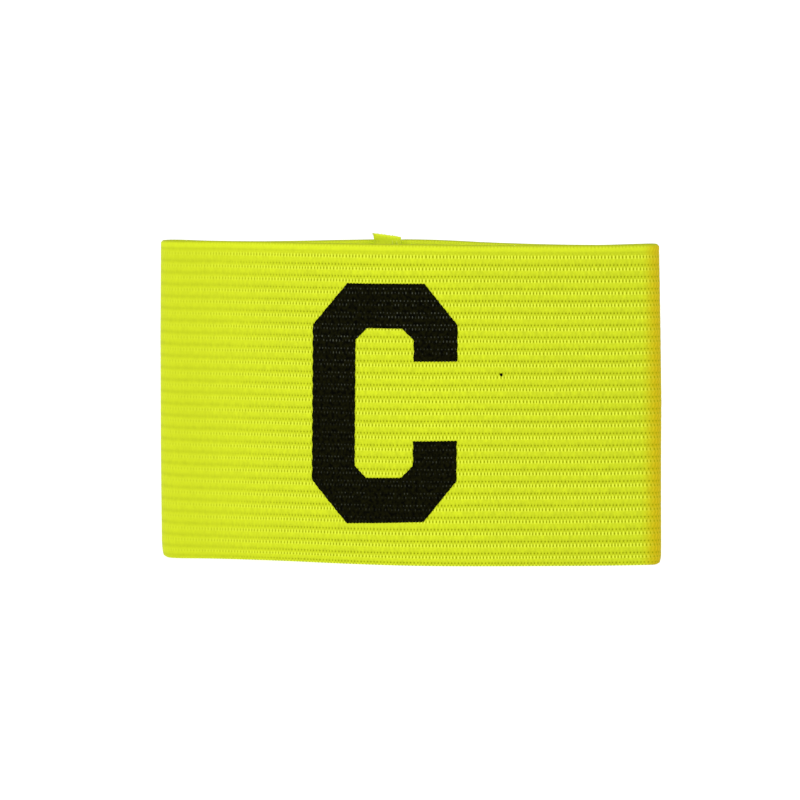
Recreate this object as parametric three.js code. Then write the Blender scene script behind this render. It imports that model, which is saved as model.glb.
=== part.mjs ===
import * as THREE from 'three';

// A captain's armband: one strip of ribbed elastic webbing, sewn end to end into a loop and stood on
// its lower edge. The loop keeps the flattened shape that it was packed in, with a fold at each end
// and two walls that spring apart between them. A block letter C is printed on the front wall, and
// the sewn ends lie inside the back wall, where their top corners stand up past the edge.
// Millimetres, +Z up, the front towards -Y, the origin in the middle of the footprint.

// The loop, seen from above
const loopWidth = 119;
const leftFoldRadius = 3.2;     // inside the fold
const rightFoldRadius = 1.25;
const frontBulge = 8.9;         // past the straight line between the folds
const backBulge = 10.2;

// The webbing
const webbingHeight = 75;
const webbingThickness = 1.6;   // over the ribs
const broadRib = 1.8;
const narrowRib = 1.0;          // the sunken row between two broad ribs
const ribRelief = 0.35;
const selvedge = 0.15;          // least margin past the outermost ribs
const edgeRounding = 0.4;

// The printed letter, a block C with cut corners
const letterWidth = 35.2;
const letterHeight = 56;
const letterStroke = 10.4;
const cornerCutWidth = 8;
const cornerCutHeight = 9.5;
const counterCut = 2.8;         // the small cuts inside the letter
const upperArm = 18.1;          // from the letter's top down to the arm's end
const lowerArm = 19.2;
const printThickness = 0.3;
const printOffset = -4.3;       // the letter's middle, to the right of the loop's middle
const printRise = 0.6;          // and above the webbing's middle

// The seam in the back wall and the ends sewn inside it
const seamOffset = -3.6;
const seamGrooveWidth = 1.8;
const seamGrooveDepth = 0.8;
const endsWidth = 6.2;
const endsThickness = 2.6;      // both plies
const endsFlare = 0.6;          // the free top corner leans outwards
const endsRiseAtSeam = 0.8;     // past the webbing's edge
const endsRiseFree = 1.7;

const clearance = 0.3;          // between the webbing and what lies on it

// How far each wall stands out, as a share of its bulge, at a share of the way from fold to fold
const wallShape = [
  { along: 0.07, front: -0.02, back: -0.12 },
  { along: 0.15, front: 0.10, back: -0.12 },
  { along: 0.25, front: 0.34, back: 0.16 },
  { along: 0.36, front: 0.71, back: 0.68 },
  { along: 0.48, front: 0.98, back: 1.00 },
  { along: 0.58, front: 1.00, back: 0.70 },
  { along: 0.68, front: 0.85, back: 0.14 },
  { along: 0.79, front: 0.62, back: -0.30 },
  { along: 0.90, front: 0.36, back: -0.38 },
];

// How finely the curves are faceted
const outlineSteps = 1600;
const longestFacet = 5.2;
const sharpestTurn = THREE.MathUtils.degToRad(18);

const materials = {
  webbing: new THREE.MeshStandardMaterial({ color: 0xd4e32a, roughness: 0.8, metalness: 0 }),
  print: new THREE.MeshStandardMaterial({ color: 0x14150b, roughness: 0.6, metalness: 0 }),
};

// The hollow's outline, anticlockwise from the left end of the front wall

function hollowOutline() {
  const halfHollow = loopWidth / 2 - webbingThickness;
  const leftCentre = -halfHollow + leftFoldRadius;
  const rightCentre = halfHollow - rightFoldRadius;
  const halfDepth = (along) => THREE.MathUtils.lerp(leftFoldRadius, rightFoldRadius, along);
  const alongX = (along) => THREE.MathUtils.lerp(leftCentre, rightCentre, along);

  const front = wallShape.map((row) => new THREE.Vector3(
    alongX(row.along), -halfDepth(row.along) - frontBulge * row.front, 0));
  const back = wallShape.map((row) => new THREE.Vector3(
    alongX(row.along), halfDepth(row.along) + backBulge * row.back, 0));
  const fold = (centre, radius, fromDegrees) => [0, 45, 90, 135, 180].map((turned) => {
    const angle = THREE.MathUtils.degToRad(fromDegrees + turned);
    return new THREE.Vector3(centre + radius * Math.cos(angle), radius * Math.sin(angle), 0);
  });

  return new THREE.CatmullRomCurve3([
    ...front,
    ...fold(rightCentre, rightFoldRadius, -90),
    ...back.reverse(),
    ...fold(leftCentre, leftFoldRadius, 90),
  ], true, 'centripetal');
}

// The same line with its outward direction and its distance along the outside, at every fine step
function traceWall() {
  const curve = hollowOutline();
  const steps = [];
  let distance = 0;
  for (let i = 0; i <= outlineSteps; i += 1) {
    const u = i / outlineSteps;
    const inner = curve.getPoint(u % 1);
    const tangent = curve.getTangent(u % 1);
    const outward = new THREE.Vector3(tangent.y, -tangent.x, 0).normalize();
    const outer = inner.clone().addScaledVector(outward, webbingThickness);
    if (i > 0) distance += outer.distanceTo(steps[i - 1].outer);
    steps.push({ inner, outward, outer, distance });
  }
  return steps;
}

const wall = traceWall();
const loopLength = wall[wall.length - 1].distance;

// Where the outside of the front (-1) or back (+1) wall passes x
function distanceAt(x, side) {
  const crossing = wall.findIndex((step, i) => i > 0
    && Math.sign(step.outward.y) === side
    && (step.outer.x - x) * (wall[i - 1].outer.x - x) <= 0);
  return wall[crossing].distance;
}

function wallAt(distance) {
  const next = Math.max(1, wall.findIndex((step) => step.distance >= distance));
  const [a, b] = [wall[next - 1], wall[next]];
  const share = (distance - a.distance) / (b.distance - a.distance);
  return {
    inner: a.inner.clone().lerp(b.inner, share),
    outward: a.outward.clone().lerp(b.outward, share).normalize(),
  };
}

// Stations: where the facets meet, close together in the folds and at the seam's groove

const seamDistance = distanceAt(seamOffset, 1);
const grooveStations = [-0.5, 0, 0.5].map((share) => seamDistance + share * seamGrooveWidth);

function placeStations() {
  const stations = [];
  let last = null;
  for (const step of wall.slice(0, -1)) {
    if (!last || step.distance - last.distance > longestFacet
      || step.outward.angleTo(last.outward) > sharpestTurn) {
      stations.push(step.distance);
      last = step;
    }
  }
  const nearGroove = (distance) => Math.abs(distance - seamDistance) < seamGrooveWidth;
  const spread = stations.filter((distance) => !nearGroove(distance));
  return [...spread, ...grooveStations].sort((a, b) => a - b);
}

const stations = placeStations();
const stationWalls = stations.map(wallAt);

// A point of the faceted wall: depth is measured from its inner face outwards
function stationPoint(station, depth) {
  const { inner, outward } = stationWalls[station % stations.length];
  return inner.clone().addScaledVector(outward, depth);
}

function wallPoint(distance, depth) {
  const after = stations.findIndex((station) => station > distance);
  const from = after - 1;
  const share = (distance - stations[from]) / (stations[after] - stations[from]);
  return stationPoint(from, depth).lerp(stationPoint(after, depth), share);
}

// The webbing: its ribbed section carried round the loop

function webbingSection() {
  const pitch = broadRib + narrowRib;
  const ribs = Math.max(1, Math.floor((webbingHeight - 2 * selvedge + narrowRib) / pitch));
  const margin = (webbingHeight - ribs * pitch + narrowRib) / 2;
  const crest = webbingThickness;
  const groove = webbingThickness - ribRelief;
  const section = [{ z: 0, depth: crest - edgeRounding }];
  for (let rib = 0; rib < ribs; rib += 1) {
    const foot = margin + rib * pitch;
    section.push({ z: foot, depth: crest });
    section.push({ z: foot + broadRib, depth: crest });
    if (rib < ribs - 1) section.push({ z: foot + broadRib + narrowRib / 2, depth: groove });
  }
  section.push({ z: webbingHeight, depth: crest - edgeRounding });
  section.push({ z: webbingHeight, depth: edgeRounding });
  section.push({ z: webbingHeight - edgeRounding, depth: 0 });
  section.push({ z: edgeRounding, depth: 0 });
  section.push({ z: 0, depth: edgeRounding });
  return section;
}

function makeWebbing() {
  const section = webbingSection();
  const positions = [];
  const faces = [];
  stations.forEach((distance, i) => {
    const sunk = distance === seamDistance ? seamGrooveDepth : 0;
    for (const { z, depth } of section) {
      const isOutside = depth > webbingThickness / 2;
      const point = stationPoint(i, isOutside ? depth - sunk : depth);
      positions.push(point.x, point.y, z);
    }
  });
  const at = (i, j) => (i % stations.length) * section.length + (j % section.length);
  for (let i = 0; i < stations.length; i += 1) {
    for (let j = 0; j < section.length; j += 1) {
      faces.push(at(i, j), at(i + 1, j), at(i + 1, j + 1));
      faces.push(at(i, j), at(i + 1, j + 1), at(i, j + 1));
    }
  }
  return indexedGeometry(positions, faces);
}

function indexedGeometry(positions, faces) {
  const geometry = new THREE.BufferGeometry();
  geometry.setAttribute('position', new THREE.Float32BufferAttribute(positions, 3));
  geometry.setIndex(faces);
  geometry.computeVertexNormals();
  return geometry;
}

// Plates that follow the wall. A plate is a row of four-sided panels, drawn as if the wall were
// flat: x is the distance along the wall and y the height. Each is cut wherever a facet ends.

function cutAtStations(panel) {
  let rest = panel;
  const cells = [];
  const keep = (corners, station, side) => corners.flatMap((corner, i) => {
    const next = corners[(i + 1) % corners.length];
    const kept = (corner.x - station) * side >= 0 ? [corner] : [];
    if ((corner.x - station) * (next.x - station) < 0) {
      const share = (station - corner.x) / (next.x - corner.x);
      kept.push(new THREE.Vector2(station, THREE.MathUtils.lerp(corner.y, next.y, share)));
    }
    return kept;
  });
  const inside = (station) => panel.some((c) => c.x < station) && panel.some((c) => c.x > station);
  for (const station of stations.filter(inside)) {
    cells.push(keep(rest, station, -1));
    rest = keep(rest, station, 1);
  }
  return [...cells, rest];
}

function makePlate(panels, nearDepth, farDepth) {
  const corners = [];
  const indexOf = new Map();
  const cornerIndex = ({ x, y }) => {
    const key = `${x.toFixed(4)} ${y.toFixed(4)}`;
    if (!indexOf.has(key)) {
      indexOf.set(key, corners.length);
      corners.push({ x, y });
    }
    return indexOf.get(key);
  };
  const triangles = panels.flatMap(cutAtStations).flatMap((cell) => {
    const ring = cell.map(cornerIndex);
    return ring.slice(2).map((_, i) => [ring[0], ring[i + 1], ring[i + 2]]);
  });

  const positions = [];
  for (const depth of [nearDepth, farDepth]) {
    for (const { x, y } of corners) {
      const point = wallPoint(x, depth);
      positions.push(point.x, point.y, y);
    }
  }
  const far = corners.length;
  const faces = triangles.flatMap(([a, b, c]) => [a, c, b, a + far, b + far, c + far]);
  const edges = triangles.flatMap(([a, b, c]) => [[a, b], [b, c], [c, a]]);
  const known = new Set(edges.map(([a, b]) => `${a} ${b}`));
  for (const [a, b] of edges) {
    if (!known.has(`${b} ${a}`)) faces.push(a, b, b + far, a, b + far, a + far);
  }
  return indexedGeometry(positions, faces);
}

// The letter: a stroke between an outer and an inner line, given at each of its corners

function makeLetter() {
  const middle = distanceAt(printOffset, -1);
  const left = middle - letterWidth / 2;
  const right = middle + letterWidth / 2;
  const bottom = webbingHeight / 2 + printRise - letterHeight / 2;
  const top = bottom + letterHeight;
  const [innerLeft, innerRight] = [left + letterStroke, right - letterStroke];
  const [innerBottom, innerTop] = [bottom + letterStroke, top - letterStroke];
  const corners = [
    { outer: [right, top - upperArm], inner: [innerRight, top - upperArm] },
    { outer: [right, top - cornerCutHeight], inner: [innerRight, innerTop - counterCut] },
    { outer: [right - cornerCutWidth, top], inner: [innerRight - counterCut, innerTop] },
    { outer: [left + cornerCutWidth, top], inner: [innerLeft + counterCut, innerTop] },
    { outer: [left, top - cornerCutHeight], inner: [innerLeft, innerTop - counterCut] },
    { outer: [left, bottom + cornerCutHeight], inner: [innerLeft, innerBottom + counterCut] },
    { outer: [left + cornerCutWidth, bottom], inner: [innerLeft + counterCut, innerBottom] },
    { outer: [right - cornerCutWidth, bottom], inner: [innerRight - counterCut, innerBottom] },
    { outer: [right, bottom + cornerCutHeight], inner: [innerRight, innerBottom + counterCut] },
    { outer: [right, bottom + lowerArm], inner: [innerRight, bottom + lowerArm] },
  ];
  const panels = corners.slice(1).map((to, i) => {
    const from = corners[i];
    return [from.outer, to.outer, to.inner, from.inner].map(([x, y]) => new THREE.Vector2(x, y));
  });
  const near = webbingThickness + clearance;
  return makePlate(panels, near, near + printThickness);
}

// The two ends of the strip, sewn together and turned to one side along the inside of the seam

function makeSewnEnds() {
  const seam = seamDistance;
  const free = seam + endsWidth;
  const panel = [
    new THREE.Vector2(seam, endsRiseAtSeam),
    new THREE.Vector2(free, endsRiseFree),
    new THREE.Vector2(free + endsFlare, webbingHeight + endsRiseFree),
    new THREE.Vector2(seam, webbingHeight + endsRiseAtSeam),
  ];
  return makePlate([panel], -clearance - endsThickness, -clearance);
}

function addPiece(name, geometry, material) {
  const piece = new THREE.Mesh(geometry, material);
  piece.name = name;
  armband.add(piece);
}

const armband = new THREE.Group();
addPiece('webbing_loop', makeWebbing(), materials.webbing);
addPiece('printed_letter', makeLetter(), materials.print);
addPiece('sewn_ends', makeSewnEnds(), materials.webbing);

const footprint = new THREE.Box3().setFromObject(armband).getCenter(new THREE.Vector3());
for (const piece of armband.children) piece.position.set(-footprint.x, -footprint.y, 0);

export default armband;
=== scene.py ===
import math
import random

import bmesh
import bpy
import numpy as np
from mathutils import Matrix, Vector, noise


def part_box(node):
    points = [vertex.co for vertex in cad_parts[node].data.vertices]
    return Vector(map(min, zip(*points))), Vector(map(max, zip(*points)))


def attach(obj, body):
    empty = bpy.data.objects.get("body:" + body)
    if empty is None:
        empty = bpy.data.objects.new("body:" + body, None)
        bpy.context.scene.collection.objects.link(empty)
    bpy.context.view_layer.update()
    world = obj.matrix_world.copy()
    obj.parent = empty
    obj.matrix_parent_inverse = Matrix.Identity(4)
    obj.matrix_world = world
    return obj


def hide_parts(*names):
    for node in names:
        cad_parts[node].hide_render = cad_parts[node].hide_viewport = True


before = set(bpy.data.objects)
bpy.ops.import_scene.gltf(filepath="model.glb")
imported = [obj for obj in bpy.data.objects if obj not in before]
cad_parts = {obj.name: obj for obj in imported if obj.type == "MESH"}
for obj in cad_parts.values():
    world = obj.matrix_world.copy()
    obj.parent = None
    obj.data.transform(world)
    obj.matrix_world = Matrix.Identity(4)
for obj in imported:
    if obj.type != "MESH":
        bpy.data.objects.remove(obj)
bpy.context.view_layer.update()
mm = 0.001
print("frame loaded")

# Camera: where the photograph was taken from

camera = {
    "azimuth": 8.57,              # degrees to the right of square on
    "elevation": 4.69,
    "distance": 1.358,
    "lens": 259.0,
    "shift": (-0.0117, 0.0022),   # the armband stands a little right of the picture's middle
    "farthest": 50,
}


def makeCamera():
    azimuth, elevation = math.radians(camera["azimuth"]), math.radians(camera["elevation"])
    back = Vector((
        math.sin(azimuth) * math.cos(elevation),
        -math.cos(azimuth) * math.cos(elevation),
        math.sin(elevation),
    ))
    data = bpy.data.cameras.new("camera")
    data.lens = camera["lens"]
    data.shift_x, data.shift_y = camera["shift"]
    data.clip_end = camera["farthest"]
    placed = bpy.data.objects.new("camera", data)
    bpy.context.scene.collection.objects.link(placed)
    placed.location = Vector((0, 0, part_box("webbing_loop")[1].z / 2)) + back * camera["distance"]
    placed.rotation_euler = back.to_track_quat("Z", "Y").to_euler()
    bpy.context.scene.camera = placed


makeCamera()

# Studio: a wide white floor, lit from below too, under an even white sky, with one soft lamp in front

studio = {
    "floorRadius": 12,
    "floorSides": 96,
    "floorColor": (0.3, 0.3, 0.3, 1),
    "floorRoughness": 0.9,
    "floorGlow": 0.82,
    "skyStrength": 1.0,
    "lampStrength": 0.3,
    "lampFrom": (-0.35, -1.0, 0.6),
    "lampSoftness": 40,           # degrees across
    "view": "Standard",
}


def plainMaterial(name, color, roughness):
    material = bpy.data.materials.new(name)
    material.use_nodes = True
    shader = material.node_tree.nodes["Principled BSDF"]
    shader.inputs["Base Color"].default_value = color
    shader.inputs["Roughness"].default_value = roughness
    return material


def makeStudio():
    sides, radius = studio["floorSides"], studio["floorRadius"]
    turns = [math.tau * side / sides for side in range(sides)]
    points = [(radius * math.cos(turn), radius * math.sin(turn), 0) for turn in turns]
    white = plainMaterial("white floor", studio["floorColor"], studio["floorRoughness"])
    shader = white.node_tree.nodes["Principled BSDF"]
    shader.inputs["Emission Color"].default_value = (1, 1, 1, 1)
    shader.inputs["Emission Strength"].default_value = studio["floorGlow"]
    meshPiece("floor", points, [list(range(sides))], white)

    sky = bpy.data.worlds.new("studio")
    sky.use_nodes = True
    sky.node_tree.nodes["Background"].inputs["Color"].default_value = (1, 1, 1, 1)
    sky.node_tree.nodes["Background"].inputs["Strength"].default_value = studio["skyStrength"]
    bpy.context.scene.world = sky
    lamp = bpy.data.lights.new("lamp", "SUN")
    lamp.energy, lamp.angle = studio["lampStrength"], math.radians(studio["lampSoftness"])
    placed = bpy.data.objects.new("lamp", lamp)
    bpy.context.scene.collection.objects.link(placed)
    placed.rotation_euler = Vector(studio["lampFrom"]).to_track_quat("Z", "Y").to_euler()
    bpy.context.scene.view_settings.view_transform = studio["view"]


def meshPiece(name, points, faces, material):
    mesh = bpy.data.meshes.new(name)
    mesh.from_pydata([tuple(p) for p in points], [], faces)
    mesh.shade_smooth()
    mesh.materials.append(material)
    piece = bpy.data.objects.new(name, mesh)
    bpy.context.scene.collection.objects.link(piece)
    return piece


makeStudio()
print("camera, floor and lights made")

# The wall's line round the hollow, read from the frame's inner edge

webbing = {
    "wall": 1.6 * mm,             # over the ribs
    "edgeRounding": 0.4 * mm,
    "seamWidth": 0.95 * mm,       # half the groove's width
    "seamDepth": 0.8 * mm,
    "steps": 24,                  # of the smooth line, to each side of the frame's
    "samePoint": 0.002 * mm,
    "sameLevel": 0.01 * mm,
}
# Where the folds stray from straight up: how far out by height, and how far in at their corners
folds = [
    {
        "side": -1,
        "lean": [(3 * mm, -0.08 * mm), (14 * mm, 0.02 * mm), (26 * mm, 0.1 * mm), (52 * mm, 0.1 * mm),
                 (64 * mm, 0), (75 * mm, -0.1 * mm)],
        "pinchBelow": 0.75 * mm,
        "below": 4.2 * mm,
        "pinchAbove": 0.1 * mm,
        "above": 0.6 * mm,
    },
    {
        "side": 1,
        "lean": [(0, 0.36 * mm), (5 * mm, 0.38 * mm), (14 * mm, 0.32 * mm), (26 * mm, 0.29 * mm),
                 (38 * mm, 0.32 * mm), (52 * mm, 0.11 * mm), (64 * mm, -0.12 * mm), (75 * mm, -0.36 * mm)],
        "pinchBelow": 0.6 * mm,
        "below": 3 * mm,
        "pinchAbove": 0.1 * mm,
        "above": 0.6 * mm,
    },
]
foldReach = 4.5 * mm
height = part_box("webbing_loop")[1].z
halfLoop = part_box("webbing_loop")[1].x


def hollowCorners(node):
    mesh = bmesh.new()
    mesh.from_mesh(node.data)
    bmesh.ops.remove_doubles(mesh, verts=mesh.verts, dist=webbing["samePoint"])
    level = height - webbing["edgeRounding"]
    onEdge = {v for v in mesh.verts if abs(v.co.z - level) < webbing["sameLevel"]}
    ring = [min(onEdge, key=lambda v: v.co.x)]
    ahead = {e.other_vert(ring[0]) for e in ring[0].link_edges} & onEdge
    while ahead:
        ring.append(min(ahead, key=lambda v: v.co.y))   # along the front first
        ahead = ({e.other_vert(ring[-1]) for e in ring[-1].link_edges} & onEdge) - set(ring)
    corners = np.array([v.co.xy[:] for v in ring])
    mesh.free()
    return corners


def smoothRing(p1):
    # a closed spline through the corners, its steps spread by the root of their distances
    p0, p2, p3 = np.roll(p1, 1, 0), np.roll(p1, -1, 0), np.roll(p1, -2, 0)
    d1 = np.sqrt(np.linalg.norm(p2 - p1, axis=1))[:, None]
    d0, d2 = np.roll(d1, 1, 0), np.roll(d1, -1, 0)
    leave = d1 * ((p1 - p0) / d0 - (p2 - p0) / (d0 + d1) + (p2 - p1) / d1)
    arrive = d1 * ((p2 - p1) / d1 - (p3 - p1) / (d1 + d2) + (p3 - p2) / d2)
    points = []
    for t in np.linspace(0, 1, webbing["steps"], endpoint=False):
        points.append((2 * t**3 - 3 * t**2 + 1) * p1 + (t**3 - 2 * t**2 + t) * leave
                      + (3 * t**2 - 2 * t**3) * p2 + (t**3 - t**2) * arrive)
    return np.stack(points, 1).reshape(-1, 2)


def traceWall():
    inner = smoothRing(hollowCorners(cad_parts["webbing_loop"]))
    seamCorner = max((v.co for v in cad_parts["sewn_ends"].data.vertices), key=lambda co: co.y)
    atSeam = np.argmin(np.linalg.norm(inner - np.array(seamCorner.xy), axis=1))
    inner = np.roll(inner, -atSeam, 0)
    ahead = np.roll(inner, -1, 0) - np.roll(inner, 1, 0)
    outward = np.stack([ahead[:, 1], -ahead[:, 0]], 1) / np.linalg.norm(ahead, axis=1)[:, None]
    inner, outward = (np.vstack([line, line[:1]]) for line in (inner, outward))
    outer = inner + outward * webbing["wall"]
    steps = np.linalg.norm(np.diff(outer, axis=0), axis=1)
    distance = np.concatenate([[0], np.cumsum(steps)])
    return {"distance": distance, "inner": inner, "outward": outward, "outer": outer}


wall = traceWall()                # from the seam, anticlockwise seen from above
loopLength = wall["distance"][-1]


def smoothStep(share):
    share = np.clip(share, 0, 1)
    return share * share * (3 - 2 * share)


def wallAt(name, distance):
    line = wall[name]
    distance = np.mod(distance, loopLength)
    return np.stack([np.interp(distance, wall["distance"], line[:, k]) for k in (0, 1)], -1)


def onWall(distance, z, depth):
    # a point of the webbing: distance along the outside, height, and depth from the inner face out
    xy = wallAt("inner", distance) + wallAt("outward", distance) * np.asarray(depth)[..., None]
    x = xy[..., 0]
    for fold in folds:
        near = smoothStep((x * fold["side"] - halfLoop + foldReach) / foldReach)
        low = np.clip(1 - z / fold["below"], 0, 1)
        high = np.clip(1 - (height - z) / fold["above"], 0, 1)
        pull = fold["pinchBelow"] * (1 - np.sqrt(1 - low**2))
        pull = pull + fold["pinchAbove"] * (1 - np.sqrt(1 - high**2))
        levels, outs = zip(*fold["lean"])
        x = x + fold["side"] * near * (np.interp(z, levels, outs) - pull)
    return np.stack([x, xy[..., 1], z + 0 * x], -1)


def distanceAt(x, side):
    # where the outside of the front (-1) or back (1) wall passes x
    onSide = np.sign(wall["outward"][:, 1]) == side
    return wall["distance"][onSide][np.argmin(abs(wall["outer"][onSide, 0] - x))]


# The weave: broad smooth ribs, and between them two rows of holes with threads crossing over

weave = {
    "ribs": 28,                   # the upper edge cuts through the last one
    "roundRow": 0.35,             # height of the rib's row of round holes, in ribs
    "closedRelief": 0.35,         # share of the relief that is left where the holes look closed
    "foldRelief": 0.25,           # and at the folds
    "closedEdge": 1.9 * mm,       # the holes are all but closed along the upper edge
    "edgeOpen": 0.25,
    "unevenness": 0.03 * mm,
    "edgeStrip": 0.12 * mm,
    "rowWander": 0.07 * mm,
    "wanderLength": 9 * mm,
    "seed": 7,
}
# Height of each rib's start, counted in ribs; the two at the edges are pressed together
ribHeights = [
    {"rib": 0.02, "z": 0.0 * mm},
    {"rib": 0.14, "z": 0.30 * mm},
    {"rib": 0.35, "z": 0.77 * mm},
    {"rib": 1, "z": 2.05 * mm},
    {"rib": 26, "z": 72.23 * mm},
    {"rib": 26.35, "z": 73.2 * mm},
    {"rib": 27, "z": 74.50 * mm},
    {"rib": 27.15, "z": 75 * mm},
]
# One rib upwards from its row of crossing threads: depth at the threads and midway between them
outerRib = [
    {"up": 0.00, "thread": 1.57 * mm, "between": 1.48 * mm, "fine": True},
    {"up": 0.18, "thread": 1.53 * mm, "between": 1.53 * mm, "fine": False},
    {"up": 0.35, "thread": 1.36 * mm, "between": 1.48 * mm, "fine": True},
    {"up": 0.48, "thread": 1.55 * mm, "between": 1.55 * mm, "fine": False},
    {"up": 0.68, "thread": 1.60 * mm, "between": 1.60 * mm, "fine": False},
    {"up": 0.88, "thread": 1.59 * mm, "between": 1.59 * mm, "fine": False},
]
innerRib = [
    {"up": 0.00, "depth": 0.10 * mm},
    {"up": 0.35, "depth": 0.22 * mm},
    {"up": 0.68, "depth": 0.00 * mm},
]
# Along the loop: how far apart the threads are stretched, how open the holes look, and how bright it is, a
# painted light and shade
frontStretch = [
    {"x": -58 * mm, "pitch": 0.70 * mm, "open": 0.10, "paintedShading": 0.975},
    {"x": -50 * mm, "pitch": 0.70 * mm, "open": 0.22, "paintedShading": 0.98},
    {"x": -38 * mm, "pitch": 0.72 * mm, "open": 0.56, "paintedShading": 1.00},
    {"x": -22 * mm, "pitch": 0.80 * mm, "open": 0.86, "paintedShading": 1.02},
    {"x": 8 * mm, "pitch": 0.81 * mm, "open": 1.00, "paintedShading": 1.02},
    {"x": 25 * mm, "pitch": 0.76 * mm, "open": 1.00, "paintedShading": 0.975},
    {"x": 50 * mm, "pitch": 0.83 * mm, "open": 1.00, "paintedShading": 0.94},
    {"x": 58 * mm, "pitch": 0.84 * mm, "open": 0.95, "paintedShading": 0.94},
]
backStretch = [
    {"x": -58 * mm, "pitch": 0.76 * mm, "open": 0.2, "paintedShading": 0.985},
    {"x": -15 * mm, "pitch": 0.76 * mm, "open": 0.5, "paintedShading": 1.00},
    {"x": 18 * mm, "pitch": 0.76 * mm, "open": 1.0, "paintedShading": 0.97},
    {"x": 58 * mm, "pitch": 0.76 * mm, "open": 1.0, "paintedShading": 0.94},
]
# How far the rows stray upwards low down and high up, and how far the upper edge does
frontStray = [
    {"x": -58 * mm, "low": -0.15 * mm, "high": 0.17 * mm, "edge": 0.33 * mm},
    {"x": -47 * mm, "low": -0.48 * mm, "high": 0.05 * mm, "edge": 0.33 * mm},
    {"x": -35 * mm, "low": -0.46 * mm, "high": 0.07 * mm, "edge": 0.32 * mm},
    {"x": -26 * mm, "low": -0.38 * mm, "high": 0.06 * mm, "edge": 0.30 * mm},
    {"x": -14 * mm, "low": -0.25 * mm, "high": 0.12 * mm, "edge": 0.35 * mm},
    {"x": 4 * mm, "low": -0.06 * mm, "high": 0.24 * mm, "edge": 0.38 * mm},
    {"x": 17 * mm, "low": 0.06 * mm, "high": 0.31 * mm, "edge": 0.24 * mm},
    {"x": 31 * mm, "low": 0.00 * mm, "high": 0.19 * mm, "edge": 0.19 * mm},
    {"x": 50 * mm, "low": -0.02 * mm, "high": 0.14 * mm, "edge": 0.14 * mm},
    {"x": 58 * mm, "low": -0.02 * mm, "high": 0.14 * mm, "edge": 0.28 * mm},
]
backStray = [
    {"x": -58 * mm, "low": 0, "high": 0, "edge": 0.20 * mm},
    {"x": -50 * mm, "low": 0, "high": 0, "edge": 0.03 * mm},
    {"x": -35 * mm, "low": 0, "high": 0, "edge": 0.00 * mm},
    {"x": -11 * mm, "low": 0, "high": 0, "edge": 0.17 * mm},
    {"x": 5 * mm, "low": 0, "high": 0, "edge": 0.16 * mm},
    {"x": 16 * mm, "low": 0, "high": 0, "edge": 0.00 * mm},
    {"x": 45 * mm, "low": 0, "high": 0, "edge": 0.02 * mm},
    {"x": 58 * mm, "low": 0, "high": 0, "edge": 0.28 * mm},
]
stray = {
    "lowAt": 14.5 * mm,
    "highAt": 68 * mm,
    "edgeReach": 7 * mm,          # rows nearer to an edge stray less
    "topReach": 5 * mm,
}


def column(table, name):
    return [row[name] for row in table]


def ribHeight(rib):
    return np.interp(rib, column(ribHeights, "rib"), column(ribHeights, "z"))


def ribAt(z):
    return np.interp(z, column(ribHeights, "z"), column(ribHeights, "rib"))


def around(front, back, name):
    # a value of the front's and back's tables at each step of the wall's line
    x = wall["outer"][:, 0]
    onFront = np.interp(x, column(front, "x"), column(front, name))
    onBack = np.interp(x, column(back, "x"), column(back, name))
    isBack = smoothStep(wall["outward"][:, 1] / 2 + 0.5)
    return onFront + (onBack - onFront) * isBack


def countThreads():
    steps = np.diff(wall["distance"]) / around(frontStretch, backStretch, "pitch")[1:]
    count = np.concatenate([[0], np.cumsum(steps)])
    whole = round(count[-1])
    return count * whole / count[-1], whole


threadCount, threads = countThreads()
openness = around(frontStretch, backStretch, "open")
paintedShadings = around(frontStretch, backStretch, "paintedShading")
strays = {name: around(frontStray, backStray, name) for name in ("low", "high", "edge")}
foldness = smoothStep((abs(wall["outer"][:, 0]) - halfLoop + foldReach) / foldReach)


def valueAt(values, distance):
    return np.interp(np.mod(distance, loopLength), wall["distance"], values)


def threadDistance(thread):
    return np.interp(thread, threadCount, wall["distance"])


def threadAt(distance):
    return np.interp(distance, wall["distance"], threadCount)


def edgeCap(z):
    # how far the rounded edges lie inside each face
    radius = webbing["edgeRounding"]
    inside = np.clip(radius - np.minimum(z, height - z), 0, radius)
    return radius - np.sqrt(radius**2 - inside**2)


def outerDepth(distance, z):
    rib = ribAt(z)
    thread = threadAt(np.mod(distance, loopLength))
    ups = column(outerRib, "up") + [1.0]
    onThread = np.interp(rib % 1, ups, column(outerRib, "thread") + [outerRib[0]["thread"]])
    between = np.interp(rib % 1, ups, column(outerRib, "between") + [outerRib[0]["between"]])
    share = 1 - abs(1 - 2 * (thread % 1))
    sunk = webbing["wall"] - onThread - (between - onThread) * share
    relief = weave["closedRelief"] + (1 - weave["closedRelief"]) * valueAt(openness, distance)
    relief = relief * (1 - (1 - weave["foldRelief"]) * valueAt(foldness, distance))
    depth = webbing["wall"] - sunk * relief
    fromSeam = np.minimum(np.mod(distance, loopLength), loopLength - np.mod(distance, loopLength))
    groove = webbing["seamDepth"] * np.clip(1 - fromSeam / webbing["seamWidth"], 0, 1)
    return np.minimum(depth, webbing["wall"] - edgeCap(z)) - groove


def settled(distance, z):
    # rows of a real weave aren't quite level, nor is its upper edge straight
    low, high, edge = (valueAt(strays[name], distance) for name in ("low", "high", "edge"))
    share = (z - stray["lowAt"]) / (stray["highAt"] - stray["lowAt"])
    inside = np.clip(np.minimum(z, height - z) / stray["edgeReach"], 0, 1)
    scale = weave["wanderLength"]
    wander = np.array([noise.noise(Vector((s / scale, h / scale, 0))) for s, h in zip(distance, z)])
    lift = low + (high - low) * share + weave["rowWander"] * wander
    return z + lift * inside + edge * smoothStep(1 - (height - z) / stray["topReach"])


# The webbing: closed rows of points, up the outside and down the inside

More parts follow.
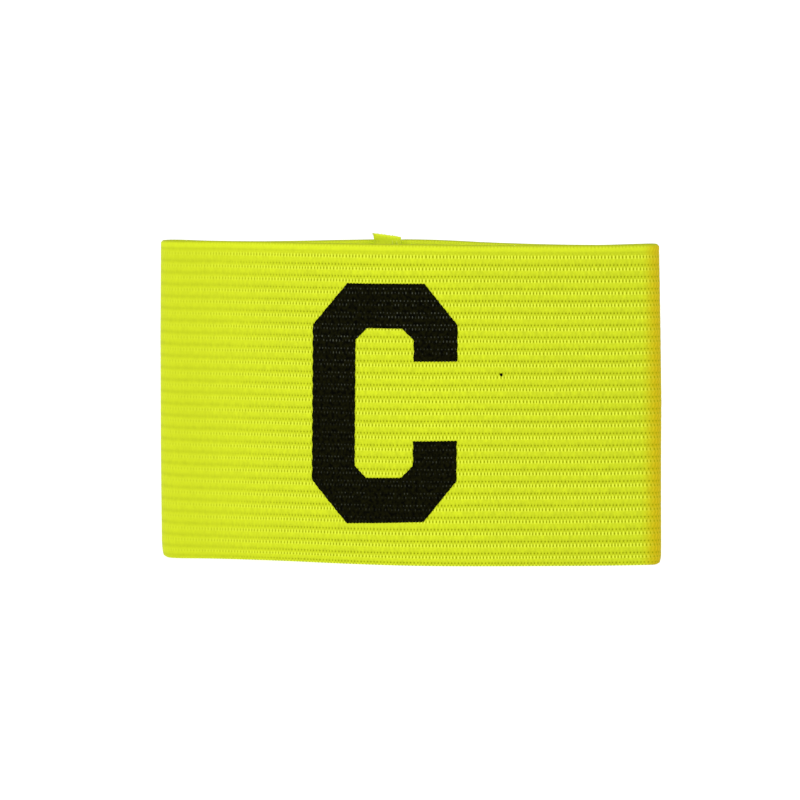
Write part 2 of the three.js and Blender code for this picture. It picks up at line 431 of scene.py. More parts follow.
def bandRows():
    def side(parts, outer):
        rows = [{"z": 0.0, "outer": outer, "fine": False}]
        for rib in range(weave["ribs"]):
            for part in parts:
                z = ribHeight(rib + part["up"])
                if weave["edgeStrip"] < z < height - weave["edgeStrip"]:
                    rows.append({**part, "z": z, "outer": outer, "fine": part.get("fine", False)})
        return rows + [{"z": height, "outer": outer, "fine": False}]

    return side(outerRib, True) + side(innerRib, False)[::-1]


def rowPoints(row, rng):
    steps = 2 * threads if row["fine"] else threads
    distance = threadDistance(np.arange(steps) * threads / steps)
    z = np.full(steps, row["z"])
    if row["outer"]:
        depth = outerDepth(distance, z)
    else:
        depth = np.full(steps, max(row.get("depth", 0), edgeCap(row["z"])))
    if "up" in row:
        depth = depth + weave["unevenness"] * rng.uniform(-0.5, 0.5, steps)
    return distance, onWall(distance, settled(distance, z), depth)


def joinRows(lower, upper):
    # faces between two rows that have one or two points to a thread, as pairs of row and thread number
    faces = []
    for i in range(threads):
        a = [(lower, i + k / 2) for k in ((0, 1, 2) if lower["fine"] else (0, 2))]
        b = [(upper, i + k / 2) for k in ((0, 1, 2) if upper["fine"] else (0, 2))]
        if len(a) == len(b):
            for k in range(len(a) - 1):
                faces.append([a[k], a[k + 1], b[k + 1], b[k]])
        elif len(a) == 3:
            faces += [[a[0], a[1], b[0]], [a[1], b[1], b[0]], [a[1], a[2], b[1]]]
        else:
            faces += [[a[0], b[1], b[0]], [a[0], a[1], b[1]], [a[1], b[2], b[1]]]
    return faces


def makeBand(material):
    rng = np.random.default_rng(weave["seed"])
    rows = bandRows()
    points, marks = [], {"open": [], "paintedShading": [], "inside": [], "edge": []}
    for row in rows:
        row["first"] = len(points)
        row["rib"] = float(ribAt(row["z"]))
        distance, placed = rowPoints(row, rng)
        points.extend(placed)
        closed = weave["edgeOpen"] if row["z"] > height - weave["closedEdge"] else 1
        marks["open"].extend(valueAt(openness, distance) * closed)
        marks["paintedShading"].extend(valueAt(paintedShadings, distance))
        marks["inside"].extend([not row["outer"]] * len(distance))
        marks["edge"].extend([row["z"] == height] * len(distance))
    faces, uvs = [], []
    for lower, upper in zip(rows, rows[1:] + rows[:1]):
        for face in joinRows(lower, upper):
            corners = []
            for row, thread in face:
                steps = 2 if row["fine"] else 1
                corners.append(row["first"] + int(thread * steps) % (threads * steps))
                uvs.append((thread, row["rib"]))   # not wrapped round, so no face is smeared at the seam
            faces.append(corners)
    band = meshPiece("webbing_band", points, faces, material)
    layUvs(band.data, uvs)
    markFabric(band.data, marks)
    return band


def layUvs(mesh, uvs):
    layer = mesh.uv_layers.new(name="weave")
    layer.data.foreach_set("uv", np.array(uvs, np.float32).ravel())


def markFabric(mesh, marks):
    # how open the holes are, the painted light and shade along the loop, what is inside (painted lighter)
    # or on the upper edge (a darker line, partly painted shade), and how near the fold on the right
    # (painted warm shade)
    x = np.array([vert.co.x for vert in mesh.vertices])
    near = smoothStep((x - halfLoop + webbingFinish["foldFrom"]) / webbingFinish["foldWidth"])
    for name, values in {**marks, "fold": near}.items():
        values = np.array(values, np.float32)
        mesh.attributes.new(name, "FLOAT", "POINT").data.foreach_set("value", values)


# Nodes shared by the materials

def newMaterial(name):
    material = bpy.data.materials.new(name)
    material.use_nodes = True
    return material, material.node_tree, material.node_tree.nodes["Principled BSDF"]


def feed(tree, socket, value):
    if isinstance(value, bpy.types.NodeSocket):
        tree.links.new(value, socket)
    else:
        socket.default_value = value


def calc(tree, operation, *values):
    node = tree.nodes.new("ShaderNodeMath")
    node.operation = operation
    for socket, value in zip(node.inputs, values):
        feed(tree, socket, value)
    return node.outputs[0]


def fade(tree, value, full, none):
    # 1 where value is at full, smoothly down to 0 at none
    node = tree.nodes.new("ShaderNodeMapRange")
    node.interpolation_type = "SMOOTHSTEP"
    for socket, given in zip(node.inputs, (value, full, none, 1.0, 0.0)):
        feed(tree, socket, given)
    return node.outputs["Result"]


def mixColor(tree, factor, a, b, blend="MIX"):
    node = tree.nodes.new("ShaderNodeMix")
    node.data_type = "RGBA"
    node.blend_type = blend
    for name, value in (("Factor_Float", factor), ("A_Color", a), ("B_Color", b)):
        socket = next(s for s in node.inputs if s.identifier == name)
        feed(tree, socket, value)
    return next(s for s in node.outputs if s.identifier == "Result_Color")


def times(tree, first, *others):
    product = first
    for value in others:
        product = calc(tree, "MULTIPLY", product, value)
    return product


def between(tree, share, low, high):
    return calc(tree, "ADD", times(tree, share, high - low), low)


def addBump(tree, shader, relief, look):
    bump = tree.nodes.new("ShaderNodeBump")
    bump.inputs["Strength"].default_value = look["bump"]
    bump.inputs["Distance"].default_value = look["bumpHeight"]
    tree.links.new(relief, bump.inputs["Height"])
    tree.links.new(bump.outputs["Normal"], shader.inputs["Normal"])


def weaveNoise(tree, thread, rib, fineness, detail=2.0):
    # fineness is a pair: per thread along the loop, and per rib upwards
    node = tree.nodes.new("ShaderNodeTexNoise")
    place = vectorOf(tree, times(tree, thread, fineness[0]), times(tree, rib, fineness[1]))
    feed(tree, node.inputs["Vector"], place)
    node.inputs["Scale"].default_value = 1.0
    node.inputs["Detail"].default_value = detail
    return node.outputs["Fac"]


def attribute(tree, name):
    node = tree.nodes.new("ShaderNodeAttribute")
    node.attribute_name = name
    return node.outputs["Fac"]


def vectorOf(tree, x, y, z=0.0):
    node = tree.nodes.new("ShaderNodeCombineXYZ")
    for socket, value in zip(node.inputs, (x, y, z)):
        feed(tree, socket, value)
    return node.outputs[0]


# The weave's marks, across in threads and up in ribs: a pair says where a mark is full and where it ends
weaveMarks = {
    "longHole": (0.18, 0.115),    # half its width and height
    "roundHole": (0.22, 0.085),
    "holeEdge": (0.55, 1.3),      # in shares of those halves
    "streakAcross": (0.05, 0.36),
    "streakUp": (0.02, 0.24),
    "crossingAcross": (0.10, 0.32),
    "crossingUp": (0.09, 0.2),
    "partingPath": (0.38, 0.05),
    "partingAcross": (0.03, 0.2),
    "partingUp": (0.31, 0.43),
    "rowsPartBelow": 0.3,         # below each rib's start, where its rows begin to wander by themselves
    "wander": 0.9,
    "wanderFineness": (0.21, 7.3),
}


def weaveCoordinates(tree):
    # thread and rib number, with the small wanderings of a real weave
    uv = tree.nodes.new("ShaderNodeUVMap")
    uv.uv_map = "weave"
    split = tree.nodes.new("ShaderNodeSeparateXYZ")
    tree.links.new(uv.outputs["UV"], split.inputs[0])
    thread, rib = split.outputs["X"], split.outputs["Y"]
    row = calc(tree, "FLOOR", calc(tree, "ADD", rib, weaveMarks["rowsPartBelow"]))
    drift = calc(tree, "SUBTRACT", weaveNoise(tree, thread, row, weaveMarks["wanderFineness"]), 0.5)
    return calc(tree, "ADD", thread, times(tree, drift, weaveMarks["wander"])), rib


def weaveMasks(tree, thread, rib):
    toThread = calc(tree, "PINGPONG", thread, 0.5)
    toGap = calc(tree, "SUBTRACT", 0.5, toThread)
    toRow = calc(tree, "PINGPONG", rib, 0.5)
    aboveRow = calc(tree, "FRACT", rib)
    fromRound = calc(tree, "SUBTRACT", rib, weave["roundRow"])
    toRoundRow = calc(tree, "PINGPONG", fromRound, 0.5)
    aboveRoundRow = calc(tree, "FRACT", fromRound)

    def mark(value, name):
        return fade(tree, value, *weaveMarks[name])

    def hole(across, up, name):
        halfWidth, halfHeight = weaveMarks[name]
        a = calc(tree, "POWER", calc(tree, "DIVIDE", across, halfWidth), 2.0)
        b = calc(tree, "POWER", calc(tree, "DIVIDE", up, halfHeight), 2.0)
        return mark(calc(tree, "SQRT", calc(tree, "ADD", a, b)), "holeEdge")

    path = calc(tree, "SUBTRACT", 0.5, times(tree, mark(aboveRow, "partingPath"), 0.5))
    fromPath = calc(tree, "ABSOLUTE", calc(tree, "SUBTRACT", toThread, path))
    # the streaks over the round holes and the partings between holes only ever carry painted shade
    return {
        "longHoles": hole(toGap, toRow, "longHole"),
        "roundHoles": hole(toThread, toRoundRow, "roundHole"),
        "streaks": times(tree, mark(aboveRoundRow, "streakUp"), mark(toThread, "streakAcross")),
        "partings": times(tree, mark(fromPath, "partingAcross"), mark(aboveRow, "partingUp")),
        "crossings": times(tree, mark(toThread, "crossingAcross"), mark(toRow, "crossingUp")),
        "aboveRow": aboveRow,
    }


# Webbing finish: neon yellow elastic, matte, with painted shade in the holes, between the ribs and round
# the right fold, and painted light on the crossing threads, the uppermost rib and the inside

webbingFinish = {
    "base": (0.60, 0.695, 0.015, 1),
    # painted light: the inside is painted brighter, fading by this share where the weave is open
    "inside": (0.76, 0.88, 0.03, 1),
    "insideLightFade": 0.5,
    # painted highlight colour of the crossing threads
    "bright": (0.79, 0.90, 0.06, 1),
    "crossings": (0.05, 0.87),    # painted highlight on the crossing threads: how strong it is where the weave is closed, and where it is open
    # painted shade colour of the holes, the streaks and the partings
    "hole": (0.27, 0.30, 0.0, 1),
    "longHoles": 0.88,            # how dark the painted shade is in each kind of hole and in the streaks over the round ones
    "roundHoles": 0.88,
    "streaks": 0.4,
    "partings": 0.27,             # and along the lines where the threads part, from hole to hole, also painted shade
    "fineMarks": (0.85, 0.2),     # how open the weave is where all but the long holes show and end
    # a darker line along the upper edge, partly the rim's own colour and partly painted shade
    "edge": (0.40, 0.46, 0.01, 1),
    # painted warm shade round the right fold, both evenly and in slanting streaks
    "fold": (0.66, 0.39, 0.0, 1),
    "foldShade": 0.7,
    "foldStreakShade": 0.42,          # how dark the painted shade in the slanting streaks is there
    "slant": 1.0,                 # threads to a rib
    "slantWidth": (0.08, 0.42),   # of a streak, in threads: full to here, ended there
    "foldFrom": 4.4 * mm,         # in from the fold's end
    "foldWidth": 4.4 * mm,
    "furrowShade": 0.08,               # painted shade: how dark the closed weave is between its ribs
    "furrowAt": 0.42,
    "furrowWidth": 0.26,
    "topRibLight": 0.09,               # painted light: how much brighter the uppermost rib is
    "topRibFrom": (26.6, 26.2),
    "fibres": (0.16, 0.5),        # where the weave is closed, and where it is open
    "fibreFineness": (1.3, 1.6),
    "fibreDetail": 3.0,
    "patches": 0.08,
    "patchFineness": (0.03, 0.12),
    "roughness": 0.78,
    "sheen": 0.04,
    "sheenRoughness": 0.5,
    "specular": 0.07,
    "bump": 0.5,
    "bumpHeight": 0.12 * mm,
    "crossingRelief": 0.6,
    "fibreRelief": 0.5,
}
# Half the brightness of one rib upwards from its row of crossing threads
ribShade = [
    (0.0, 0.49), (0.18, 0.505), (0.35, 0.475), (0.5, 0.475), (0.68, 0.495), (0.9, 0.505), (1.0, 0.49),
]


def ribShading(tree, aboveRow):
    ramp = tree.nodes.new("ShaderNodeValToRGB")
    ramp.color_ramp.interpolation = "B_SPLINE"
    stops = ramp.color_ramp.elements
    for position, _ in ribShade[2:]:
        stops.new(position)
    for stop, (position, value) in zip(stops, ribShade):
        stop.position = position
        stop.color = (value, value, value, 1)
    tree.links.new(aboveRow, ramp.inputs["Fac"])
    return times(tree, ramp.outputs["Color"], 2.0)


# painted shade: dark in the holes, in the streaks over the round ones, along the partings and in the
# slanting streaks at the right fold
def holeShading(tree, masks, opened, thread, rib):
    look = webbingFinish
    finer = times(tree, masks["roundHoles"], look["roundHoles"])
    for name in ("streaks", "partings"):
        finer = calc(tree, "MAXIMUM", finer, times(tree, masks[name], look[name]))
    finer = times(tree, finer, fade(tree, opened, *look["fineMarks"]))
    longHoles = times(tree, masks["longHoles"], look["longHoles"])
    holes = times(tree, calc(tree, "MAXIMUM", longHoles, finer), opened)
    slanted = calc(tree, "SUBTRACT", thread, times(tree, rib, look["slant"]))
    slants = fade(tree, calc(tree, "PINGPONG", slanted, 0.5), *look["slantWidth"])
    return calc(tree, "MAXIMUM", holes, times(tree, slants, look["foldStreakShade"], attribute(tree, "fold")))


def webbingMaterial():
    material, tree, shader = newMaterial("neon elastic webbing")
    look = webbingFinish
    opened = attribute(tree, "open")
    thread, rib = weaveCoordinates(tree)
    masks = weaveMasks(tree, thread, rib)
    holes = holeShading(tree, masks, opened, thread, rib)
    # the crossing threads: a painted highlight in the colour, and raised in the bump
    crossings = times(tree, masks["crossings"], between(tree, opened, *look["crossings"]))
    fibres = weaveNoise(tree, thread, rib, look["fibreFineness"], look["fibreDetail"])
    patches = weaveNoise(tree, thread, rib, look["patchFineness"])

    uneven = times(tree, calc(tree, "SUBTRACT", fibres, 0.5), between(tree, opened, *look["fibres"]))
    patchy = times(tree, calc(tree, "SUBTRACT", patches, 0.5), look["patches"])
    topRibLight = times(tree, fade(tree, rib, *look["topRibFrom"]), look["topRibLight"])
    # painted shade in the furrows between the ribs, where the weave is closed
    offFurrow = calc(tree, "ABSOLUTE", calc(tree, "SUBTRACT", masks["aboveRow"], look["furrowAt"]))
    furrowShade = times(tree, fade(tree, offFurrow, 0.0, look["furrowWidth"]), look["furrowShade"])
    furrowShade = times(tree, furrowShade, calc(tree, "SUBTRACT", 1.0, opened))
    # grain carries the random tone and also painted light and shade: the uppermost rib, the furrows, the
    # light along the loop and each rib's own light and shade
    grain = calc(tree, "ADD", calc(tree, "ADD", uneven, patchy), calc(tree, "ADD", topRibLight, 1.0))
    grain = calc(tree, "SUBTRACT", grain, furrowShade)
    grain = times(tree, grain, attribute(tree, "paintedShading"), ribShading(tree, masks["aboveRow"]))

    color = mixColor(tree, 1.0, look["base"], vectorOf(tree, grain, grain, grain), "MULTIPLY")
    # painted highlight on the crossing threads
    color = mixColor(tree, crossings, color, look["bright"])
    # painted light on the inside faces
    insideLight = calc(tree, "SUBTRACT", 1.0, times(tree, opened, look["insideLightFade"]))
    color = mixColor(tree, times(tree, attribute(tree, "inside"), insideLight), color, look["inside"])
    # painted warm shade round the right fold
    color = mixColor(tree, times(tree, attribute(tree, "fold"), look["foldShade"]), color, look["fold"])
    # painted shade in the holes, streaks and partings
    color = mixColor(tree, holes, color, look["hole"])
    # the upper edge's darker line, partly its own colour and partly painted shade
    color = mixColor(tree, attribute(tree, "edge"), color, look["edge"])
    tree.links.new(color, shader.inputs["Base Color"])

    relief = calc(tree, "SUBTRACT", times(tree, crossings, look["crossingRelief"]), holes)
    relief = calc(tree, "ADD", relief, times(tree, fibres, look["fibreRelief"]))
    addBump(tree, shader, relief, look)
    solid = calc(tree, "SUBTRACT", 1.0, holes)
    tree.links.new(times(tree, solid, look["specular"]), shader.inputs["Specular IOR Level"])
    tree.links.new(times(tree, solid, look["sheen"]), shader.inputs["Sheen Weight"])
    shader.inputs["Sheen Roughness"].default_value = look["sheenRoughness"]
    shader.inputs["Roughness"].default_value = look["roughness"]
    return material


fabric = webbingMaterial()
band = makeBand(fabric)
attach(band, "root")
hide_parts("webbing_loop")
print("webbing made,", len(band.data.polygons), "faces,", threads, "threads")

# The printed letter: a skin of ink on the threads, cut to a block C

letter = {
    "stem": 10.8 * mm,
    "arms": 10.25 * mm,
    "upperBar": 10.4 * mm,
    "lowerBar": 10.5 * mm,
    "upperLeftCut": (8.7 * mm, 9.8 * mm),
    "lowerLeftCut": (8.95 * mm, 10.05 * mm),
    "upperRightCut": (7.85 * mm, 9.65 * mm),
    "lowerRightCut": (7.6 * mm, 9.4 * mm),
    "counterCut": 2.8 * mm,
    "upperArm": 18.1 * mm,
    "lowerArm": 18.97 * mm,
    "moved": {"left": -0.10 * mm, "right": -0.45 * mm, "bottom": 0.08 * mm, "top": -0.13 * mm},
    "lean": 0.43 * mm,            # how far the top is printed to the right of the foot
    "footTilt": 0.032,
    "lift": 0.07 * mm,            # over the threads
    "thickness": 0.05 * mm,
    "raggedSides": 0.08 * mm,
    "raggedEnds": 0.07 * mm,
    "widestAt": 0.69,             # up a rib, where the ink reaches farthest sideways
    "cutTolerance": 0.01 * mm,
}


def letterOutline():
    low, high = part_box("printed_letter")
    moved = letter["moved"]
    left, right = distanceAt(low.x + moved["left"], -1), distanceAt(high.x + moved["right"], -1)
    bottom, top = low.z + moved["bottom"], high.z + moved["top"]
    stem, arms = left + letter["stem"], right - letter["arms"]
    over, under = top - letter["upperBar"], bottom + letter["lowerBar"]
    upper, lower = top - letter["upperArm"], bottom + letter["lowerArm"]
    upperLeft, lowerLeft = letter["upperLeftCut"], letter["lowerLeftCut"]
    upperRight, lowerRight = letter["upperRightCut"], letter["lowerRightCut"]
    inner = letter["counterCut"]
    corners = [
        (right, upper), (right, top - upperRight[1]), (right - upperRight[0], top),
        (left + upperLeft[0], top), (left, top - upperLeft[1]),
        (left, bottom + lowerLeft[1]), (left + lowerLeft[0], bottom),
        (right - lowerRight[0], bottom), (right, bottom + lowerRight[1]),
        (right, lower), (arms, lower), (arms, under + inner), (arms - inner, under),
        (stem + inner, under), (stem, under + inner), (stem, over - inner), (stem + inner, over),
        (arms - inner, over), (arms, over - inner), (arms, upper),
    ]
    outline = []
    for s, z in corners:
        up = (z - bottom) / (top - bottom)
        tilt = letter["footTilt"] * (1 - up) ** 2
        outline.append((s + letter["lean"] * (up - 0.5), z + tilt * (s - (left + right) / 2)))
    return outline


def isInside(point, outline):
    # by counting the sides that lie to the right of the point
    inside = False
    for (ax, ay), (bx, by) in zip(outline, outline[1:] + outline[:1]):
        if (ay > point[1]) == (by > point[1]):
            continue
        if point[0] < ax + (point[1] - ay) * (bx - ax) / (by - ay):
            inside = not inside
    return inside


def flatGrid(distances, heights):
    mesh = bmesh.new()
    grid = [[mesh.verts.new((s, z, 0)) for s in distances] for z in heights]
    for low, high in zip(grid, grid[1:]):
        for i in range(len(distances) - 1):
            mesh.faces.new((low[i], low[i + 1], high[i + 1], high[i]))
    return mesh


def cutToOutline(mesh, outline):
    for a, b in zip(outline, outline[1:] + outline[:1]):
        corner = (a[0], a[1], 0)
        normal = Vector((b[1] - a[1], a[0] - b[0], 0)).normalized()
        everything = mesh.verts[:] + mesh.edges[:] + mesh.faces[:]
        near = letter["cutTolerance"]
        bmesh.ops.bisect_plane(mesh, geom=everything, plane_co=corner, plane_no=normal, dist=near)
    outside = [f for f in mesh.faces if not isInside(f.calc_center_median(), outline)]
    bmesh.ops.delete(mesh, geom=outside, context="FACES")


def roughenOutline(mesh):
    # the ink's sides follow the ribs, and its ends the threads
    for vert in [v for v in mesh.verts if v.is_boundary]:
        inner = [edge.other_vert(vert).co for edge in vert.link_edges if not edge.is_boundary]
        inward = sum((co - vert.co for co in inner), Vector())
        if inward.length == 0:
            continue
        out = -inward.normalized()
        rib, thread = ribAt(vert.co.y) % 1, threadAt(vert.co.x) % 1
        onThread = abs(thread - 0.5) > 0.25
        sideways = letter["raggedSides"] * math.cos(math.tau * (rib - letter["widestAt"])) * out.x
        upwards = letter["raggedEnds"] * (1 if onThread else -1) * out.y
        vert.co += Vector((sideways, upwards, 0))


def inkSkin(name, mesh, material):
    # a closed skin over the webbing, from a flat mesh of distance and height
    mesh.verts.index_update()
    s, z = (np.array([v.co[k] for v in mesh.verts]) for k in (0, 1))
    under = outerDepth(s, z) + letter["lift"]
    lifted = settled(s, z)
    points = np.vstack([onWall(s, lifted, under + letter["thickness"]), onWall(s, lifted, under)])
    count = len(s)
    uv = np.stack([threadAt(s), ribAt(z)], 1)
    faces = [[v.index for v in f.verts] for f in mesh.faces]
    faces += [[i + count for i in reversed(f)] for f in faces]
    for edge in [e for e in mesh.edges if e.is_boundary]:
        a, b = (loop.vert.index for loop in (edge.link_loops[0], edge.link_loops[0].link_loop_next))
        faces.append([b, a, a + count, b + count])
    mesh.free()
    skin = meshPiece(name, points, faces, material)
    layUvs(skin.data, [uv[i % count] for face in faces for i in face])
    return skin


inkFinish = {
    "dull": (0.0008, 0.0008, 0.0, 1),
    "bright": (0.0068, 0.0068, 0.0008, 1),
    "grain": (0.7, 0.3),
    "grainFineness": (1.1, 3.1),
    "speck": (0.105, 0.115, 0.085, 1),
    "specks": (0.36, 0.72),       # how strong they are low down, and over the upper bar
    "upperFrom": (0.7, 0.55),     # shares of the height: full from the first, none below the second
    "sharpness": 2.0,
    "eachFineness": (0.8, 2.3),
    "eachSpeck": (0.68, 0.34),
    "patchFineness": (0.1, 0.3),
    "patchSpeck": (0.66, 0.1),
    "bump": 0.35,
    "bumpHeight": 0.1 * mm,
    "roughness": 0.7,
    "specular": 0.02,
}


def inkMaterial():
    material, tree, shader = newMaterial("black textile ink")
    look = inkFinish
    thread, rib = weaveCoordinates(tree)
    masks = weaveMasks(tree, thread, rib)
    each = weaveNoise(tree, thread, rib, look["eachFineness"])
    patches = weaveNoise(tree, thread, rib, look["patchFineness"])
    # lighter grey dots in the ink where the holes are, scattered by noise, stronger over the upper bar
    speckSpread = times(tree, fade(tree, each, *look["eachSpeck"]), fade(tree, patches, *look["patchSpeck"]))
    holes = calc(tree, "MAXIMUM", masks["longHoles"], masks["roundHoles"])
    upper = fade(tree, rib, *(ribAt(share * height) for share in look["upperFrom"]))
    specks = times(tree, calc(tree, "POWER", holes, look["sharpness"]), speckSpread)
    specks = times(tree, specks, between(tree, upper, *look["specks"]))
    grain = fade(tree, weaveNoise(tree, thread, rib, look["grainFineness"]), *look["grain"])
    color = mixColor(tree, grain, look["dull"], look["bright"])
    color = mixColor(tree, specks, color, look["speck"])
    tree.links.new(color, shader.inputs["Base Color"])
    addBump(tree, shader, calc(tree, "SUBTRACT", masks["crossings"], holes), look)
    shader.inputs["Roughness"].default_value = look["roughness"]
    shader.inputs["Specular IOR Level"].default_value = look["specular"]
    return material


def makeLetter(material):
    outline = letterOutline()
    s, z = zip(*outline)
    first, last = math.floor(threadAt(min(s))), math.ceil(threadAt(max(s)))
    distances = threadDistance(np.arange(first, last + 0.5, 0.5))
    low, high = int(ribAt(min(z))), int(ribAt(max(z))) + 1
    heights = [ribHeight(rib + part["up"]) for rib in range(low, high) for part in outerRib]
    heights.append(ribHeight(high))
    mesh = flatGrid(distances, heights)
    cutToOutline(mesh, outline)
    roughenOutline(mesh)
    return inkSkin("letter_print", mesh, material)


ink = inkMaterial()
letterPrint = makeLetter(ink)
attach(letterPrint, "root")
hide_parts("printed_letter")
print("letter made,", len(letterPrint.data.polygons), "faces")

# A speck of the ink, splashed to the right of the letter

speck = {
    "x": 23.3 * mm,
    "z": 44.8 * mm,
    "radius": 0.32 * mm,
    "corners": 10,
    "uneven": 0.3,
    "seed": 5,
}


def makeSpeck(material):
    rng = random.Random(speck["seed"])
    middle = distanceAt(speck["x"], -1)
    mesh = bmesh.new()
    rim = []
    for corner in range(speck["corners"]):
        angle = math.tau * corner / speck["corners"]
        reach = speck["radius"] * (1 + speck["uneven"] * rng.uniform(-1, 1))
        along, up = reach * math.cos(angle), reach * math.sin(angle)
        rim.append(mesh.verts.new((middle + along, speck["z"] + up, 0)))
    centre = mesh.verts.new((middle, speck["z"], 0))
    for a, b in zip(rim, rim[1:] + rim[:1]):
        mesh.faces.new((centre, a, b))
    return inkSkin("ink_speck", mesh, material)


inkSpeck = makeSpeck(ink)
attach(inkSpeck, "root")
print("ink speck made")

# The sewn ends: two plies of the same webbing, raw at their cut edges

ends = {
    "width": 6.2 * mm,
    "flare": 0.6 * mm,            # wider at the top by this
    "tipLean": 0.42 * mm,         # the top leans towards the free side
    "leanAtSeam": 0.3,            # and less at the seam, by this share
    "tipHeight": 3 * mm,
    "riseAtSeam": 0.8 * mm,
    "riseFree": 1.75 * mm,
    "plies": [(-1.45 * mm, -0.12 * mm), (-2.88 * mm, -1.55 * mm)],
    "columns": 17,
    "rounding": 0.25 * mm,
    "dip": 0.14 * mm,             # between the ribs
    "raggedSide": 0.16 * mm,
    "raggedTop": 0.05 * mm,
    "open": 0.12,
    "seed": 11,
}


def endsPoint(share, z, depth):
    leaning = ends["leanAtSeam"] + (1 - ends["leanAtSeam"]) * share
    lean = ends["tipLean"] * leaning * smoothStep(1 - (height - z) / ends["tipHeight"])
    distance = share * (ends["width"] + ends["flare"] * z / height) + lean
    rise = ends["riseAtSeam"] + (ends["riseFree"] - ends["riseAtSeam"]) * share
    return onWall(np.asarray(distance), np.asarray(z), np.asarray(depth)) + np.array([0, 0, rise])


def plyPoint(k, z, depth, inward, rng):
    share = k / (ends["columns"] - 1)
    isSide, isEnd = k in (0, ends["columns"] - 1), z in (0.0, height)
    dip = ends["dip"] * (0.5 + 0.5 * math.cos(math.tau * (ribAt(z) - weave["roundRow"])))
    depth += inward * (dip + ends["rounding"] * (isSide or isEnd))
    share += rng.uniform(-1, 1) * ends["raggedSide"] / ends["width"] * (share == 1)
    lift = rng.uniform(-1, 1) * ends["raggedTop"] * isEnd
    return endsPoint(share, z, depth) + np.array([0, 0, lift])


def makeEnds(material):
    rng = np.random.default_rng(ends["seed"])
    strip = weave["edgeStrip"]
    levels = [float(ribHeight(rib + part["up"])) for rib in range(weave["ribs"]) for part in innerRib]
    heights = [0.0] + [z for z in levels if strip < z < height - strip] + [height]
    columns, count = ends["columns"], len(heights)
    points, faces, uvs = [], [], []

    def addFace(corners):
        faces.append([first + (side * count + row) * columns + k for side, row, k in corners])
        uvs.extend((k / 2, ribAt(heights[row])) for side, row, k in corners)

    for far, near in ends["plies"]:
        first = len(points)
        for depth, inward in ((near, -1), (far, 1)):
            points.extend(plyPoint(k, z, depth, inward, rng) for z in heights for k in range(columns))
        ring = [(0, k) for k in range(columns)] + [(1, k) for k in reversed(range(columns))]
        for row in range(count - 1):
            for (sideA, a), (sideB, b) in zip(ring, ring[1:] + ring[:1]):
                addFace([(sideA, row, a), (sideB, row, b), (sideB, row + 1, b), (sideA, row + 1, a)])
        for k in range(columns - 1):
            addFace([(1, 0, k), (1, 0, k + 1), (0, 0, k + 1), (0, 0, k)])
            top = count - 1
            addFace([(0, top, k), (0, top, k + 1), (1, top, k + 1), (1, top, k)])
    piece = meshPiece("sewn_plies", points, faces, material)
    layUvs(piece.data, uvs)
    even = np.ones(len(points))
    # the plies take the inside's painted light all over
    marks = {"open": even * ends["open"], "paintedShading": even, "inside": even, "edge": even * 0}
    markFabric(piece.data, marks)
    return piece


sewnPlies = makeEnds(fabric)
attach(sewnPlies, "root")
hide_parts("sewn_ends")
print("sewn ends made,", len(sewnPlies.data.polygons), "faces")

# Threads: two rows of stitches that hold the seam, and fine ends frayed out of the cut edges

stitching = {
    "rows": [1.2 * mm, 2.2 * mm],  # from the seam
    "first": 1.6 * mm,
    "pitch": 2.6 * mm,
    "length": 2.15 * mm,
    "radius": 0.15 * mm,
    "sides": 6,
    "bend": [(0, -0.10 * mm), (0.12, 0.08 * mm), (0.5, 0.14 * mm), (0.88, 0.08 * mm), (1, -0.10 * mm)],
}
fraying = {
    "alongTop": 34,
    "alongSide": 60,
    "length": (0.25 * mm, 0.7 * mm),
    "tuft": 12,                   # more of them at the free corner
    "tuftLength": (0.15 * mm, 0.35 * mm),
    "radius": 0.035 * mm,
    "sides": 3,
    "curl": 0.25,
    "steps": [(-0.3, 1), (0.3, 1), (0.7, 0.8), (1, 0.4)],   # shares of the length and the radius
    "plyShare": (0.08, 0.92),
    "topShare": (0.02, 0.98),
    "tuftDepth": 0.5,             # mm below the corner
    "tuftRise": 0.25,
    "seed": 3,
    "color": (0.70, 0.80, 0.06, 1),
    "roughness": 0.8,
}


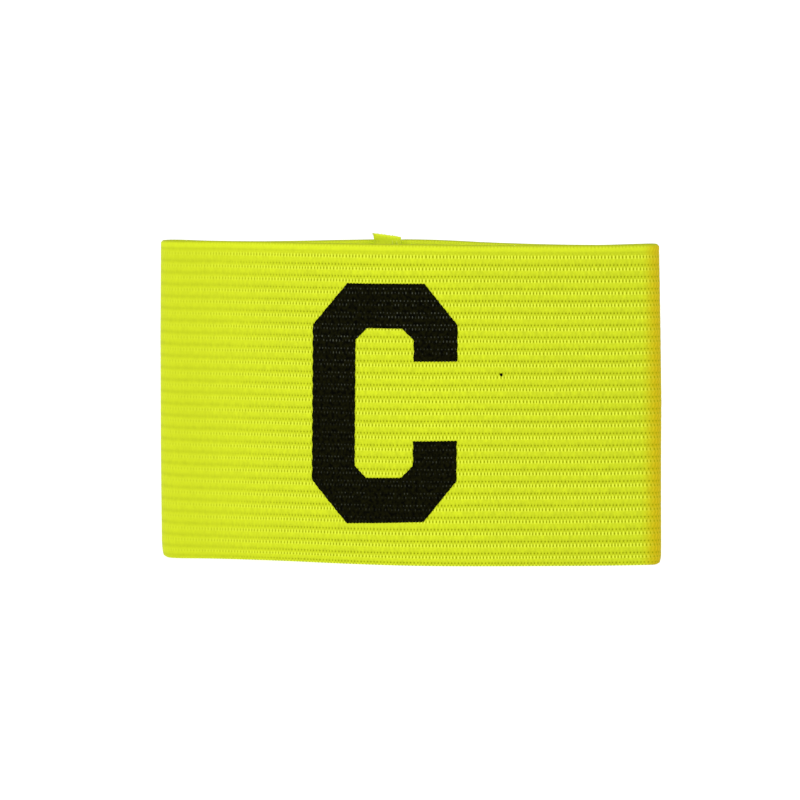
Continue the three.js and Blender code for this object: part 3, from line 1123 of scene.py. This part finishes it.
def addThread(points, faces, path, radii, sides):
    # a closed tube along the path
    path = [Vector(p) for p in path]
    first = len(points)
    for i, (centre, radius) in enumerate(zip(path, radii)):
        ahead = path[min(i + 1, len(path) - 1)] - path[max(i - 1, 0)]
        across = ahead.orthogonal().normalized()
        other = ahead.normalized().cross(across)
        for side in range(sides):
            angle = math.tau * side / sides
            points.append(centre + radius * (math.cos(angle) * across + math.sin(angle) * other))
    for i in range(len(path) - 1):
        for side in range(sides):
            a, b = first + i * sides + side, first + i * sides + (side + 1) % sides
            faces.append([a, b, b + sides, a + sides])
    last = first + (len(path) - 1) * sides
    faces.append([first + side for side in reversed(range(sides))])
    faces.append([last + side for side in range(sides)])


def makeStitches(material):
    points, faces = [], []
    face = ends["plies"][-1][0]
    for fromSeam in stitching["rows"]:
        start = stitching["first"]
        while start + stitching["length"] < height - stitching["first"] / 2:
            path = []
            for share, out in stitching["bend"]:
                z = start + share * stitching["length"]
                path.append(endsPoint(fromSeam / ends["width"], z, face + ends["dip"] / 2 - out))
            addThread(points, faces, path, [stitching["radius"]] * len(path), stitching["sides"])
            start += stitching["pitch"]
    return meshPiece("seam_stitches", points, faces, material)


def makeFrays(material):
    rng = random.Random(fraying["seed"])
    points, faces = [], []
    face = ends["plies"][0][1]
    thick = face - ends["plies"][-1][0]
    shortest, longest = fraying["length"]

    def addFray(share, z, outward, lengths):
        depth = face - thick * rng.uniform(*fraying["plyShare"])
        root = Vector(endsPoint(share, z, depth))
        length = rng.uniform(*lengths)
        curl = Vector([rng.uniform(-1, 1) for _ in range(3)]) * fraying["curl"]
        path = [root + (outward * t + curl * t * t) * length for t, _ in fraying["steps"]]
        radii = [fraying["radius"] * size for _, size in fraying["steps"]]
        addThread(points, faces, path, radii, fraying["sides"])

    freeward = Vector(endsPoint(1, height, face) - endsPoint(0, height, face))
    freeward.z = 0
    freeward.normalize()
    up = Vector((0, 0, 1))
    for _ in range(fraying["alongTop"]):
        addFray(rng.uniform(*fraying["topShare"]), height, up, (shortest / 2, shortest))
    for _ in range(fraying["alongSide"]):
        addFray(1, rng.uniform(0, height), freeward, (shortest, longest))
    risen = (freeward + up * fraying["tuftRise"]).normalized()
    for _ in range(fraying["tuft"]):
        addFray(1, height - rng.uniform(0, fraying["tuftDepth"]) * mm, risen, fraying["tuftLength"])
    return meshPiece("frayed_threads", points, faces, material)


threadMaterial = plainMaterial("neon thread", fraying["color"], fraying["roughness"])
attached = [letterPrint, inkSpeck, sewnPlies, makeStitches(threadMaterial), makeFrays(threadMaterial)]
for loose in attached[-2:]:
    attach(loose, "root")
    print(loose.name, "made,", len(loose.data.polygons), "faces")
